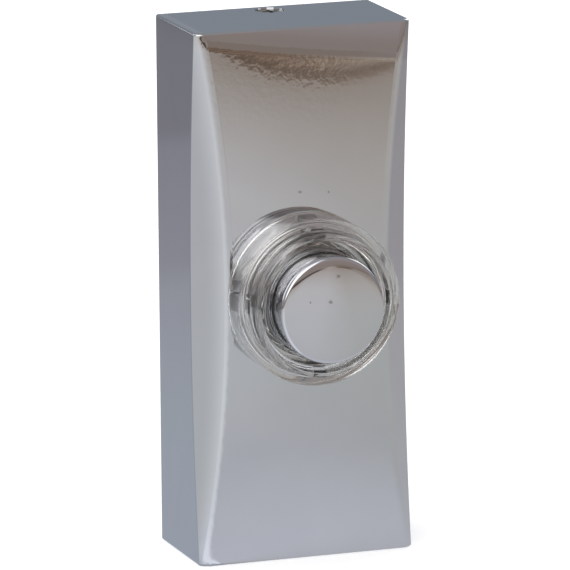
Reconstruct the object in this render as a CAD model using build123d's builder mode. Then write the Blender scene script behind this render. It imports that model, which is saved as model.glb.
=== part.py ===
"""Lit, wired doorbell push: a plated cover, a clear light collar, a sprung button and the
contacts on a base plate.

Millimetres. The origin is the centre of the back face, on the wall. X points right, +Y into
the wall and Z up, so the front faces -Y. A depth is a distance from the wall towards the front.
"""

import os
from math import cos, radians, sin, sqrt

from build123d import *

# Cover: a tall shell, open at the back, with a crowned front and hollow-ground sides
cover_height = 80.0
cover_width = 33.5
cover_depth = 18.0  # at the two ends
crown_rise = 1.0  # how much the front bulges at mid-height
cover_wall = 2.0
end_round = 0.35  # edges of the top and bottom ends
bevel_inset_middle = 4.5  # side bevel, measured across the front
bevel_inset_end = 0.8
bevel_front_round = 1.8  # polished edge between bevel and front
bevel_side_round = 0.3
lip_width = 10.0  # hook inside the bottom wall, behind the base plate's tab
lip_thickness = 1.2
lip_reach = 1.2
lip_setback = 0.4

# Button: a plated thimble on a moulded plunger
cap_radius = 8.0
cap_height = 11.4  # face above the cover's front
cap_dome = 0.35
cap_edge_round = 1.2
cap_wall = 1.0
plunger_clearance = 0.05
flange_overlap = 0.85  # flange past the collar's bore, where it is stopped
flange_thickness = 1.4
stop_gap = 0.1
skirt_radius = 7.4
skirt_wall = 1.2

# Light collar: a clear stepped ring, hollow at the back, with a guide tube and four snap legs
bore_clearance = 0.25
tube_wall = 0.6
tube_reach = 4.0  # guide tube behind the cover's front wall
hole_clearance = 0.15
leg_count = 4
leg_gap = 1.0
leg_thickness = 1.0
leg_width = 2.0
hook_overhang = 0.8
hook_flat = 0.7
hook_length = 2.3
hook_play = 0.1
collar_overhang = 1.65  # first tier past the legs
collar_wall = 1.2
collar_roof = 1.4
tier_height = 5.2
tier_ledge = 1.65
rim_height = 7.4
rim_width = 0.7
rim_draft = 0.1
well_height = 5.8
well_slope = 0.6
collar_edge_round = 0.35

# Base plate
base_gap = 0.3  # all round, inside the cover
base_floor = 3.0
base_corner = 1.0
base_rim_wall = 1.4
base_rim_height = 2.5
fixing_radius = 2.2
fixing_inset = 10.2  # wall-screw hole from the plate's end
fixing_boss_radius = 4.4
fixing_boss_height = 1.0
cable_radius = 4.0
pad_height = 1.2
pad_margin = 0.5
tab_gap = 0.3

# Terminals, one each side of the cable
terminal_inset = 5.5  # from the plate's side
terminal_drop = 17.0  # below the button
strip_width = 5.0
strip_tab = 2.6  # solder tab past the washer
washer_side = 6.0
washer_thickness = 0.9
terminal_screw_radius = 1.45
terminal_head_radius = 2.7
terminal_head_height = 1.8
slot_width = 0.8
slot_depth = 0.8
nut_side = 5.5
nut_thickness = 2.2
nut_gap = 0.1
thread_gap = 0.03
screw_hole_gap = 0.15
screw_overrun = 0.8
screw_tip_room = 0.4

# Contacts
contact_drop = 6.8  # contact arms below the button
arm_width = 4.0
arm_overlap = 2.0  # each arm past the button's centre line
fixed_thickness = 0.5
leaf_thickness = 0.3
contact_gap = 1.3
free_play = 0.3
leaf_ramp = 3.0

# Return spring
spring_radius = 2.75
spring_wire = 0.5
wire_flats = 8  # the wire is drawn with flats, which keeps the coil light
spring_pitch = 2.0
spring_gap = 0.25
spring_rest_gap = 0.02
spigot_height = 4.0
spring_pocket_floor = 1.0  # pocket's end behind the cover's front wall

# Lamp with its wire and resistor
lamp_rise = 13.0  # above the button
lamp_radius = 1.5
lamp_length = 5.3
lamp_flange_radius = 1.9
lamp_flange_thickness = 1.0
lamp_stand = 3.0
lamp_post_width = 1.5
lamp_post_height = 4.0
pin_pitch = 2.54
pin_radius = 0.25
wire_radius = 0.5
wire_margin = 1.0  # wire from the rim
wire_bend = 2.0
lead_radius = 0.28
lead_margin = 0.25
lead_bend = 1.0
resistor_radius = 1.15
resistor_length = 6.3
resistor_gap = 2.2  # from the lamp's pin
resistor_round = 0.4

# Cover screw in the top end, with its nut in the base plate
screw_depth = 3.0  # from the wall
cover_screw_radius = 1.2
cover_head_radius = 2.05
cover_head_height = 1.0
head_recess_depth = 1.2
head_gap = 0.2
cross_width = 0.6
cross_length = 2.4
cross_depth = 0.6
lug_width = 9.0
lug_length = 5.2
lug_margin = 1.0
lug_nut_side = 4.5
lug_nut_thickness = 1.8

# Places worked out from the sizes above
half_width = cover_width / 2
half_height = cover_height / 2
front_depth = cover_depth + crown_rise
cavity_depth = cover_depth - cover_wall
cavity_half_width = half_width - cover_wall
cavity_half_height = half_height - cover_wall
diagonal_wall = cover_wall * (2 - sqrt(2))
cavity_chamfer = bevel_inset_middle - crown_rise - diagonal_wall

bevel_depth = bevel_inset_middle / sqrt(2)
bevel_end_depth = (bevel_inset_end + crown_rise) / sqrt(2)
bevel_sagitta = bevel_depth - bevel_end_depth
bevel_radius = (half_height**2 + bevel_sagitta**2) / (2 * bevel_sagitta)

bore_radius = cap_radius + bore_clearance
tube_radius = bore_radius + tube_wall
hole_radius = tube_radius + hole_clearance
leg_inner = tube_radius + leg_gap
leg_outer = leg_inner + leg_thickness
collar_radius = leg_outer + collar_overhang
groove_inner = bore_radius + collar_wall
groove_outer = collar_radius - collar_wall
groove_end = front_depth + tier_height - collar_roof
leg_root = groove_end + collar_roof / 2
rim_radius = collar_radius - tier_ledge - rim_draft
rim_inner = rim_radius - rim_width
tube_end = cavity_depth - tube_reach

base_half_width = cavity_half_width - base_gap
base_half_height = cavity_half_height - base_gap
rim_inside = base_half_width - base_rim_wall
fixing_z = base_half_height - fixing_inset
contact_seat = base_floor + pad_height
terminal_x = base_half_width - terminal_inset
terminal_z = -terminal_drop
strip_end = terminal_z - washer_side / 2 - strip_tab
contact_z = -contact_drop
arm_top = contact_z + arm_width / 2
arm_bottom = contact_z - arm_width / 2
fixed_top = contact_seat + fixed_thickness
leaf_bottom = fixed_top + contact_gap
leaf_top = leaf_bottom + leaf_thickness
washer_seats = {"left": fixed_top, "right": contact_seat + leaf_thickness}
terminal_sides = {"left": -1, "right": 1}
nut_pocket = contact_seat - nut_thickness
screw_tip = nut_pocket - screw_overrun

flange_front = tube_end - stop_gap
flange_back = flange_front - flange_thickness
flange_radius = bore_radius + flange_overlap
skirt_end = leaf_top + free_play
cap_face = front_depth + cap_height
cap_inside = cap_face - cap_dome - cap_wall
plunger_radius = cap_radius - cap_wall - plunger_clearance
pocket_radius = spring_radius + spring_wire / 2 + spring_gap
pocket_end = cavity_depth - spring_pocket_floor
spigot_radius = spring_radius - spring_wire / 2 - spring_gap

lamp_seat = base_floor + lamp_stand
wire_depth = fixed_top + wire_radius
lead_depth = contact_seat + leaf_thickness + lead_radius
wire_x = -(rim_inside - wire_margin - wire_radius)
lead_x = rim_inside - lead_margin - lead_radius

recess_floor = half_height - head_recess_depth
lug_nut_floor = screw_depth - lug_nut_side / 2 - nut_gap
lug_front = screw_depth + lug_nut_side / 2 + lug_margin
lug_nut_z = base_half_height - lug_length / 2

os.makedirs("parts", exist_ok=True)


def bevel_edges(shell):
    """Long edges of the two bevels, which are told by the radius of the wheel that grinds them."""
    round_faces = shell.faces().filter_by(GeomType.CYLINDER)
    bevels = round_faces.filter_by(lambda face: abs(face.radius - bevel_radius) < bevel_depth)
    return bevels.edges().filter_by(lambda edge: edge.length > half_height)


def is_end_edge(edge):
    """True for the edges round the top and bottom ends, apart from those on the wall."""
    middle = edge.center()
    return abs(abs(middle.Z) - half_height) < end_round / 10 and middle.Y < -end_round


# Cover: crowned block, ground along both long edges by a large wheel, then hollowed
with BuildPart() as cover:
    with BuildSketch(Plane.YZ):
        with BuildLine():
            Polyline(
                (-cover_depth, -half_height),
                (0, -half_height),
                (0, half_height),
                (-cover_depth, half_height),
            )
            ThreePointArc(
                (-cover_depth, half_height),
                (-front_depth, 0),
                (-cover_depth, -half_height),
            )
        make_face()
    extrude(amount=half_width, both=True)
    for side in (-1, 1):
        bevel_plane = Plane(
            origin=(side * half_width, -front_depth, 0),
            x_dir=(side, -1, 0),
            z_dir=(side, 1, 0),
        )
        with BuildSketch(bevel_plane):
            with Locations((bevel_radius - bevel_depth, 0)):
                Circle(bevel_radius)
        extrude(amount=cover_depth, both=True, mode=Mode.SUBTRACT)
    # Rounded edges: the bevels' front edges, their side edges, then all round both ends
    fillet(bevel_edges(cover).group_by(Axis.Y)[0], radius=bevel_front_round)
    fillet(bevel_edges(cover).group_by(Axis.Y)[-1], radius=bevel_side_round)
    fillet(cover.edges().filter_by(is_end_edge), radius=end_round)
    with BuildSketch(Plane.XY):
        with BuildLine():
            Polyline(
                (-cavity_half_width, 0),
                (-cavity_half_width, cavity_chamfer - cavity_depth),
                (cavity_chamfer - cavity_half_width, -cavity_depth),
                (cavity_half_width - cavity_chamfer, -cavity_depth),
                (cavity_half_width, cavity_chamfer - cavity_depth),
                (cavity_half_width, 0),
                close=True,
            )
        make_face()
    extrude(amount=cavity_half_height, both=True, mode=Mode.SUBTRACT)
    # Keyed hole for the collar's guide tube and legs
    with BuildSketch(Plane.XZ.offset(cavity_depth)):
        Circle(hole_radius)
        with PolarLocations(leg_outer / 2, leg_count):
            Rectangle(leg_outer + 2 * hole_clearance, leg_width + 2 * hole_clearance)
    extrude(amount=cover_depth, mode=Mode.SUBTRACT)
    # Recessed hole for the cover screw in the top wall
    with Locations((0, -screw_depth, half_height)):
        CounterBoreHole(
            radius=cover_screw_radius + screw_hole_gap,
            counter_bore_radius=cover_head_radius + head_gap,
            counter_bore_depth=head_recess_depth,
            depth=2 * cover_wall,
        )
    # Hook at the bottom
    with BuildSketch(Plane.XZ.offset(lip_setback)):
        with Locations((0, -cavity_half_height)):
            Rectangle(lip_width, 2 * lip_reach)
    extrude(amount=lip_thickness)
cover.part.label = "cover"
export_step(cover.part, "parts/cover.step")

# Light collar: turned profile in radius and height, then the snap legs
with BuildPart() as light_collar:
    with BuildSketch(Plane.XY):
        with BuildLine():
            Polyline(
                (bore_radius, -tube_end),
                (tube_radius, -tube_end),
                (tube_radius, -front_depth),
                (groove_inner, -front_depth),
                (groove_inner, -groove_end),
                (groove_outer, -groove_end),
                (groove_outer, -front_depth),
                (collar_radius, -front_depth),
                (collar_radius, -front_depth - tier_height),
                (collar_radius - tier_ledge, -front_depth - tier_height),
                (rim_radius, -front_depth - rim_height),
                (rim_inner, -front_depth - rim_height),
                (rim_inner - well_slope, -front_depth - well_height),
                (bore_radius, -front_depth - well_height),
                close=True,
            )
        profile = make_face()
        outer_corners = profile.vertices().group_by(Axis.X)[-1].sort_by(Axis.Y)[:1]
        rim_corners = profile.vertices().group_by(Axis.Y)[0]
        fillet(outer_corners + rim_corners, radius=collar_edge_round)
    revolve(axis=Axis.Y)
    for leg in range(leg_count):
        angle = radians(leg * 360 / leg_count)
        leg_plane = Plane(
            origin=(0, 0, 0),
            x_dir=(cos(angle), 0, sin(angle)),
            z_dir=(-sin(angle), 0, cos(angle)),
        )
        hook_top = cavity_depth - hook_play
        with BuildSketch(leg_plane):
            with BuildLine():
                Polyline(
                    (leg_inner, -leg_root),
                    (leg_inner, hook_length - hook_top),
                    (leg_inner + leg_thickness / 2, hook_length - hook_top),
                    (leg_outer + hook_overhang, hook_flat - hook_top),
                    (leg_outer + hook_overhang, -hook_top),
                    (leg_outer, -hook_top),
                    (leg_outer, -leg_root),
                    close=True,
                )
            make_face()
        extrude(amount=leg_width / 2, both=True)
light_collar.part.label = "light_collar"
export_step(light_collar.part, "parts/light_collar.step")

# Button cap: domed thimble
with BuildPart() as button_cap:
    with BuildSketch(Plane.XY):
        with BuildLine():
            SagittaArc(
                (-cap_radius, cap_dome - cap_face),
                (cap_radius, cap_dome - cap_face),
                -cap_dome,
            )
            Polyline(
                (cap_radius, cap_dome - cap_face),
                (cap_radius, -flange_front),
                (-cap_radius, -flange_front),
                (-cap_radius, cap_dome - cap_face),
            )
        profile = make_face()
        fillet(profile.vertices().group_by(Axis.Y)[0], radius=cap_edge_round)
        with Locations((0, -(cap_inside + flange_front) / 2)):
            Rectangle(2 * (cap_radius - cap_wall), cap_inside - flange_front, mode=Mode.SUBTRACT)
        with Locations((-cap_radius, -cap_face / 2)):
            Rectangle(2 * cap_radius, 2 * cap_face, mode=Mode.SUBTRACT)
    revolve(axis=Axis.Y)
button_cap.part.label = "button_cap"
export_step(button_cap.part, "parts/button_cap.step")

# Plunger: fills the cap, is stopped by its flange and presses the leaf with its skirt
with BuildPart() as button_plunger:
    with BuildSketch(Plane.XY):
        with BuildLine():
            Polyline(
                (0, -pocket_end),
                (pocket_radius, -pocket_end),
                (pocket_radius, -flange_back),
                (skirt_radius - skirt_wall, -flange_back),
                (skirt_radius - skirt_wall, -skirt_end),
                (skirt_radius, -skirt_end),
                (skirt_radius, -flange_back),
                (flange_radius, -flange_back),
                (flange_radius, -flange_front),
                (plunger_radius, -flange_front),
                (plunger_radius, -cap_inside),
                (0, -cap_inside),
                close=True,
            )
        make_face()
    revolve(axis=Axis.Y)
button_plunger.part.label = "button_plunger"
export_step(button_plunger.part, "parts/button_plunger.step")

# Return spring: from the base plate to the end of the plunger's pocket
with BuildPart() as return_spring:
    with BuildLine() as coil:
        Helix(
            pitch=spring_pitch,
            height=pocket_end - base_floor - spring_wire - 2 * spring_rest_gap,
            radius=spring_radius,
            center=(0, -base_floor - spring_rest_gap - spring_wire / 2, 0),
            direction=(0, -1, 0),
        )
    with BuildSketch(Plane(origin=coil.line @ 0, z_dir=coil.line % 0)):
        RegularPolygon(spring_wire / 2, wire_flats)
    sweep(path=coil.line, is_frenet=True)
return_spring.part.label = "return_spring"
export_step(return_spring.part, "parts/return_spring.step")

# Base plate: rimmed tray with bosses, pads, posts and the lug for the cover screw
with BuildPart() as base_plate:
    with BuildSketch(Plane.XZ):
        RectangleRounded(2 * base_half_width, 2 * base_half_height, base_corner)
    extrude(amount=base_floor)
    with BuildSketch(Plane.XZ.offset(base_floor)):
        RectangleRounded(2 * base_half_width, 2 * base_half_height, base_corner)
        offset(amount=-base_rim_wall, kind=Kind.INTERSECTION, mode=Mode.SUBTRACT)
    extrude(amount=base_rim_height)
    with BuildSketch(Plane.XZ.offset(base_floor)):
        with Locations((0, fixing_z), (0, -fixing_z)):
            Circle(fixing_boss_radius)
    extrude(amount=fixing_boss_height)
    # Pads under the terminals and the fixed contact's arm
    with BuildSketch(Plane.XZ.offset(base_floor)):
        for side in terminal_sides.values():
            with Locations((side * terminal_x, (strip_end + terminal_z + washer_side / 2) / 2)):
                Rectangle(
                    washer_side + 2 * pad_margin,
                    terminal_z + washer_side / 2 - strip_end + 2 * pad_margin,
                )
        with Locations(((arm_overlap - terminal_x) / 2, contact_z)):
            Rectangle(terminal_x + arm_overlap, arm_width)
    extrude(amount=pad_height)
    # Spigot in the spring and post under the lamp
    with BuildSketch(Plane.XZ.offset(base_floor)):
        Circle(spigot_radius)
    extrude(amount=spigot_height)
    with BuildSketch(Plane.XZ.offset(base_floor)):
        with Locations((0, lamp_rise)):
            Rectangle(lamp_post_width, lamp_post_height)
    extrude(amount=lamp_stand)
    with BuildSketch(Plane.XZ):
        with Locations((0, base_half_height - lug_length / 2)):
            Rectangle(lug_width, lug_length)
    extrude(amount=lug_front)
    # Holes: wall screws, cable, terminal nuts and their screws
    with BuildSketch(Plane.XZ):
        with Locations((0, fixing_z), (0, -fixing_z)):
            Circle(fixing_radius)
        with Locations((0, terminal_z)):
            Circle(cable_radius)
    extrude(amount=lug_front, mode=Mode.SUBTRACT)
    with BuildSketch(Plane.XZ.offset(nut_pocket)):
        with Locations((-terminal_x, terminal_z), (terminal_x, terminal_z)):
            Rectangle(nut_side + 2 * nut_gap, nut_side + 2 * nut_gap)
    extrude(amount=nut_thickness, mode=Mode.SUBTRACT)
    with BuildSketch(Plane.XZ.offset(screw_tip - screw_tip_room)):
        with Locations((-terminal_x, terminal_z), (terminal_x, terminal_z)):
            Circle(terminal_screw_radius + screw_hole_gap)
    extrude(amount=screw_overrun + screw_tip_room, mode=Mode.SUBTRACT)
    # Slot for the cover screw's nut, open to the front, and the hole along the screw
    with BuildSketch(Plane.XZ.offset(lug_nut_floor)):
        with Locations((0, lug_nut_z)):
            Rectangle(lug_nut_side + 2 * nut_gap, lug_nut_thickness + 2 * nut_gap)
    extrude(amount=lug_front, mode=Mode.SUBTRACT)
    with BuildSketch(Plane.XY.offset(base_half_height - lug_length)):
        with Locations((0, -screw_depth)):
            Circle(cover_screw_radius + screw_hole_gap)
    extrude(amount=lug_length, mode=Mode.SUBTRACT)
    # Notch behind the bottom tab for the cover's hook
    with BuildSketch(Plane.XZ):
        with Locations((0, -cavity_half_height)):
            Rectangle(lip_width + 2 * tab_gap, 2 * (lip_reach + tab_gap))
    extrude(amount=lip_setback + lip_thickness + tab_gap, mode=Mode.SUBTRACT)
base_plate.part.label = "base_plate"
export_step(base_plate.part, "parts/base_plate.step")

# Fixed contact: flat strip from the left terminal to under the plunger
with BuildPart() as fixed_contact:
    with BuildSketch(Plane.XZ.offset(contact_seat)):
        with Locations((-terminal_x, (strip_end + arm_top) / 2)):
            Rectangle(strip_width, arm_top - strip_end)
        with Locations(((arm_overlap - terminal_x) / 2, contact_z)):
            Rectangle(terminal_x + arm_overlap, arm_width)
        with Locations((-terminal_x, terminal_z)):
            Circle(terminal_screw_radius + screw_hole_gap, mode=Mode.SUBTRACT)
    extrude(amount=fixed_thickness)
fixed_contact.part.label = "fixed_contact"
export_step(fixed_contact.part, "parts/fixed_contact.step")

# Moving contact: leaf clamped at the right terminal, cranked up over the fixed arm
with BuildPart() as moving_contact:
    with BuildSketch(Plane.YZ.offset(terminal_x - strip_width / 2)):
        with BuildLine():
            Polyline(
                (-contact_seat, strip_end),
                (-contact_seat, arm_bottom - leaf_ramp),
                (-leaf_bottom, arm_bottom),
                (-leaf_bottom, arm_top),
                (-leaf_top, arm_top),
                (-leaf_top, arm_bottom),
                (-contact_seat - leaf_thickness, arm_bottom - leaf_ramp),
                (-contact_seat - leaf_thickness, strip_end),
                close=True,
            )
        make_face()
    extrude(amount=strip_width)
    with BuildSketch(Plane.XZ.offset(leaf_bottom)):
        with Locations(((terminal_x - arm_overlap) / 2, contact_z)):
            Rectangle(terminal_x + arm_overlap, arm_width)
    extrude(amount=leaf_thickness)
    with BuildSketch(Plane.XZ.offset(contact_seat)):
        with Locations((terminal_x, terminal_z)):
            Circle(terminal_screw_radius + screw_hole_gap)
    extrude(amount=leaf_thickness, mode=Mode.SUBTRACT)
moving_contact.part.label = "moving_contact"
export_step(moving_contact.part, "parts/moving_contact.step")

# Terminals: a nut, a clamp washer and a slotted screw on each side
for name, side in terminal_sides.items():
    washer_top = washer_seats[name] + washer_thickness
    with BuildPart() as terminal_nut:
        with BuildSketch(Plane.XZ.offset(nut_pocket)):
            with Locations((side * terminal_x, terminal_z)):
                Rectangle(nut_side, nut_side)
                Circle(terminal_screw_radius + thread_gap, mode=Mode.SUBTRACT)
        extrude(amount=nut_thickness)
    terminal_nut.part.label = f"{name}_terminal_nut"
    export_step(terminal_nut.part, f"parts/{name}_terminal_nut.step")

    with BuildPart() as clamp_washer:
        with BuildSketch(Plane.XZ.offset(washer_seats[name])):
            with Locations((side * terminal_x, terminal_z)):
                Rectangle(washer_side, washer_side)
                Circle(terminal_screw_radius + screw_hole_gap, mode=Mode.SUBTRACT)
        extrude(amount=washer_thickness)
    clamp_washer.part.label = f"{name}_clamp_washer"
    export_step(clamp_washer.part, f"parts/{name}_clamp_washer.step")

    with BuildPart() as terminal_screw:
        with BuildSketch(Plane.XZ.offset(screw_tip)):
            with Locations((side * terminal_x, terminal_z)):
                Circle(terminal_screw_radius)
        extrude(amount=washer_top - screw_tip)
        with BuildSketch(Plane.XZ.offset(washer_top)):
            with Locations((side * terminal_x, terminal_z)):
                Circle(terminal_head_radius)
        extrude(amount=terminal_head_height)
        with BuildSketch(Plane.XZ.offset(washer_top + terminal_head_height - slot_depth)):
            with Locations((side * terminal_x, terminal_z)):
                Rectangle(2 * terminal_head_radius, slot_width)
        extrude(amount=slot_depth, mode=Mode.SUBTRACT)
    terminal_screw.part.label = f"{name}_terminal_screw"
    export_step(terminal_screw.part, f"parts/{name}_terminal_screw.step")

# Lamp: domed body with a flange and two pins
with BuildPart() as lamp:
    with BuildSketch(Plane.XY.offset(lamp_rise)):
        with BuildLine():
            Polyline(
                (0, lamp_radius - lamp_seat - lamp_length),
                (0, -lamp_seat),
                (lamp_flange_radius, -lamp_seat),
                (lamp_flange_radius, -lamp_seat - lamp_flange_thickness),
                (lamp_radius, -lamp_seat - lamp_flange_thickness),
                (lamp_radius, lamp_radius - lamp_seat - lamp_length),
            )
            RadiusArc(
                (lamp_radius, lamp_radius - lamp_seat - lamp_length),
                (0, -lamp_seat - lamp_length),
                lamp_radius,
            )
            Line((0, -lamp_seat - lamp_length), (0, lamp_radius - lamp_seat - lamp_length))
        make_face()
    revolve(axis=Axis((0, 0, lamp_rise), (0, 1, 0)))
    for side, depth in ((-1, wire_depth - wire_radius), (1, lead_depth - lead_radius)):
        with BuildSketch(Plane.XZ.offset(depth)):
            with Locations((side * pin_pitch / 2, lamp_rise)):
                Circle(pin_radius)
        extrude(amount=lamp_seat + lamp_flange_thickness / 2 - depth)
lamp.part.label = "lamp"
export_step(lamp.part, "parts/lamp.step")

# Wire from the lamp's left pin, down beside the rim, to the fixed contact
with BuildPart() as lamp_lead:
    with BuildLine() as wire_path:
        FilletPolyline(
            (-pin_pitch / 2 - pin_radius, -wire_depth, lamp_rise),
            (wire_x, -wire_depth, lamp_rise),
            (wire_x, -wire_depth, contact_z),
            radius=wire_bend,
        )
    with BuildSketch(Plane(origin=wire_path.line @ 0, z_dir=wire_path.line % 0)):
        Circle(wire_radius)
    sweep(path=wire_path.line)
lamp_lead.part.label = "lamp_lead"
export_step(lamp_lead.part, "parts/lamp_lead.step")

# Resistor on its own leads, from the lamp's right pin to the leaf's solder tab
with BuildPart() as lamp_resistor:
    with BuildLine() as lead_path:
        FilletPolyline(
            (pin_pitch / 2 + pin_radius, -lead_depth, lamp_rise),
            (lead_x, -lead_depth, lamp_rise),
            (lead_x, -lead_depth, strip_end + strip_tab / 2),
            (terminal_x, -lead_depth, strip_end + strip_tab / 2),
            radius=lead_bend,
        )
    with BuildSketch(Plane(origin=lead_path.line @ 0, z_dir=lead_path.line % 0)):
        Circle(lead_radius)
    sweep(path=lead_path.line)
    with BuildSketch(Plane.YZ.offset(pin_pitch / 2 + resistor_gap)):
        with Locations((-lead_depth, lamp_rise)):
            Circle(resistor_radius)
    body = extrude(amount=resistor_length)
    fillet(body.edges().filter_by(GeomType.CIRCLE), radius=resistor_round)
lamp_resistor.part.label = "lamp_resistor"
export_step(lamp_resistor.part, "parts/lamp_resistor.step")

# Cover screw in the top end and its nut in the base plate's lug
with BuildPart() as cover_screw:
    with BuildSketch(Plane.XY.offset(recess_floor)):
        with Locations((0, -screw_depth)):
            Circle(cover_head_radius)
    extrude(amount=cover_head_height)
    with BuildSketch(Plane.XY.offset(base_half_height - lug_length)):
        with Locations((0, -screw_depth)):
            Circle(cover_screw_radius)
    extrude(amount=recess_floor + lug_length - base_half_height)
    with BuildSketch(Plane.XY.offset(recess_floor + cover_head_height - cross_depth)):
        with Locations((0, -screw_depth)):
            Rectangle(cross_length, cross_width)
            Rectangle(cross_width, cross_length)
    extrude(amount=cross_depth, mode=Mode.SUBTRACT)
cover_screw.part.label = "cover_screw"
export_step(cover_screw.part, "parts/cover_screw.step")

with BuildPart() as cover_screw_nut:
    with BuildSketch(Plane.XY.offset(lug_nut_z - lug_nut_thickness / 2)):
        with Locations((0, -screw_depth)):
            Rectangle(lug_nut_side, lug_nut_side)
            Circle(cover_screw_radius + thread_gap, mode=Mode.SUBTRACT)
    extrude(amount=lug_nut_thickness)
cover_screw_nut.part.label = "cover_screw_nut"
export_step(cover_screw_nut.part, "parts/cover_screw_nut.step")
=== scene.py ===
"""Looks of the lit doorbell push: its plated, moulded and rolled finishes, the clear collar,
the button's cap, the wound return spring and the contact leaf, and a pale floor with soft light
and the photograph's camera.

Metres. The frame is the part's own: X right, +Y into the wall, Z up, the front faces -Y.
"""

import math

import bmesh
import bpy
from bpy.props import FloatProperty, FloatVectorProperty, IntProperty, PointerProperty
from mathutils import Matrix, Quaternion, Vector


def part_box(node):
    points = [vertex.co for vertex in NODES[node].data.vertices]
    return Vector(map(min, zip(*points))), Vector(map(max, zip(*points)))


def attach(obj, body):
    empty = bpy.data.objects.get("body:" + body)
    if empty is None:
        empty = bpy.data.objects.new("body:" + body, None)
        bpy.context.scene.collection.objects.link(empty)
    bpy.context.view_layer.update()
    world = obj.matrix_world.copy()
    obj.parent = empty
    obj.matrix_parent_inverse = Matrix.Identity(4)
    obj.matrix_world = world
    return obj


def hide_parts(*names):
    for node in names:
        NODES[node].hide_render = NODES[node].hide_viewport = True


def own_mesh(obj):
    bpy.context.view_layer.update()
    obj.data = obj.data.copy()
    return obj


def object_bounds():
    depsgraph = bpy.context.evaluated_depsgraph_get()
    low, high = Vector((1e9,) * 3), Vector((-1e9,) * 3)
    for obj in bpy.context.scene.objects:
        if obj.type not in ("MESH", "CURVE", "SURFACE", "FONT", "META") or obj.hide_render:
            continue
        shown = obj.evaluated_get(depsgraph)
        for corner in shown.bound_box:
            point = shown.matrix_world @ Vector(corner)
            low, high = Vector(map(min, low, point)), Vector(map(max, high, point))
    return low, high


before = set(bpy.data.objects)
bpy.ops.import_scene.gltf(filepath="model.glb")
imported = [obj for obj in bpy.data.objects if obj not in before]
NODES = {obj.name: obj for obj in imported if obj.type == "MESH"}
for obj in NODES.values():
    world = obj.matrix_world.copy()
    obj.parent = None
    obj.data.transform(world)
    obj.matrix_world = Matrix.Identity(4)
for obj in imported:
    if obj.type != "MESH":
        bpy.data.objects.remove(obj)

bl_info = {
    "name": "Doorbell Push Looks",
    "version": (1, 0, 0),
    "blender": (4, 5, 0),
    "location": "View3D > Sidebar > Doorbell Push",
    "description": "Finishes, collar, cap, spring, leaf and stage of a lit doorbell push",
    "category": "Object",
}

MM = 0.001
CAD_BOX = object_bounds()
# Points of a mesh nearer than this are one
WELD = 0.001 * MM
# A Mix node's sockets for two values and two colours, and what makes it mix colours
VALUE_A, VALUE_B, COLOUR_A, COLOUR_B = 2, 3, 6, 7
BLEND = {"output": 2, "data_type": "RGBA"}
SMOOTH = {"interpolation_type": "SMOOTHSTEP"}


def linear(hex_colour, strength=1.0):
    """An sRGB hex colour as linear red, green, blue and alpha, times the strength of a light."""
    levels = [int(hex_colour[i:i + 2], 16) / 255 for i in (1, 3, 5)]
    return [
        strength * (c / 12.92 if c <= 0.04045 else ((c + 0.055) / 1.055) ** 2.4)
        for c in levels] + [1.0]


def feed(node, inputs):
    """Sets a node's inputs, each as a value or as a link from another node."""
    for socket, value in inputs.items():
        if isinstance(value, bpy.types.NodeSocket):
            node.id_data.links.new(value, node.inputs[socket])
        else:
            node.inputs[socket].default_value = value


def add_node(tree, kind, inputs=None, output=0, **settings):
    """Adds a shader node with its settings and inputs, and gives one of its outputs."""
    node = tree.nodes.new("ShaderNode" + kind)
    for name, value in settings.items():
        setattr(node, name, value)
    feed(node, inputs or {})
    return node.outputs[output]


def set_stops(colour, stops):
    """Gives the ramp that a colour comes from its stops, as pairs of place and hex colour."""
    ramp = colour.node.color_ramp
    while len(ramp.elements) < len(stops):
        ramp.elements.new(0.5)
    for element, (place, tone) in zip(ramp.elements, stops):
        element.position = place
        element.color = linear(tone)


def new_finish(name):
    """An empty material: itself, its nodes, its shader and its place on the object in metres."""
    material = bpy.data.materials.new(name)
    material.use_nodes = True
    tree = material.node_tree
    place = add_node(tree, "TexCoord", output="Object")
    return material, tree, tree.nodes["Principled BSDF"], place


def buffed_form(tree, axes, buffing):
    """What the buffing wheel wore off the cover's front, as a height in metres."""
    # It bears harder on the sides: a wide, shallow saddle
    across = add_node(tree, "Math", {0: axes["X"], 1: buffing.saddle_shift}, operation="SUBTRACT")
    skew = add_node(tree, "Math", {0: across, 1: axes["Z"]}, operation="MULTIPLY")
    square = add_node(tree, "Math", {0: skew, 1: 2.0}, operation="POWER")
    form = add_node(tree, "Math", {0: square, 1: buffing.saddle_bend}, operation="MULTIPLY")
    # It rolls the top end off, a little lower on the right, and draws the left bevel's bowed
    # edge over, most at the edge itself: each bend starts somewhere and runs on for a length
    top = CAD_BOX[1].z
    slanted = add_node(tree, "Math", {
        0: axes["X"], 1: buffing.roll_slant, 2: axes["Z"]}, operation="MULTIPLY_ADD")
    height = add_node(tree, "Math", {0: axes["Z"], 1: 2.0}, operation="POWER")
    past_edge = add_node(tree, "Math", {
        0: height, 1: buffing.edge_bow / top ** 2, 2: axes["X"]}, operation="MULTIPLY_ADD")
    edge, slope = buffing.edge_place, buffing.edge_slope
    run_in, run_out = buffing.edge_run_in, buffing.edge_run_out
    for value, start, length, bend in (
            (slanted, buffing.roll_height, top, -buffing.roll_bend),
            (past_edge, edge - run_in, run_in + run_out, -slope / run_in),
            (past_edge, edge, run_out, slope / run_in + slope / run_out)):
        beyond = add_node(tree, "MapRange", {
            "Value": value, "From Min": start, "From Max": start + length, "To Max": length})
        square = add_node(tree, "Math", {0: beyond, 1: 2.0}, operation="POWER")
        form = add_node(
            tree, "Math", {0: square, 1: bend / 2, 2: form}, operation="MULTIPLY_ADD")
    return form


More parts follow.
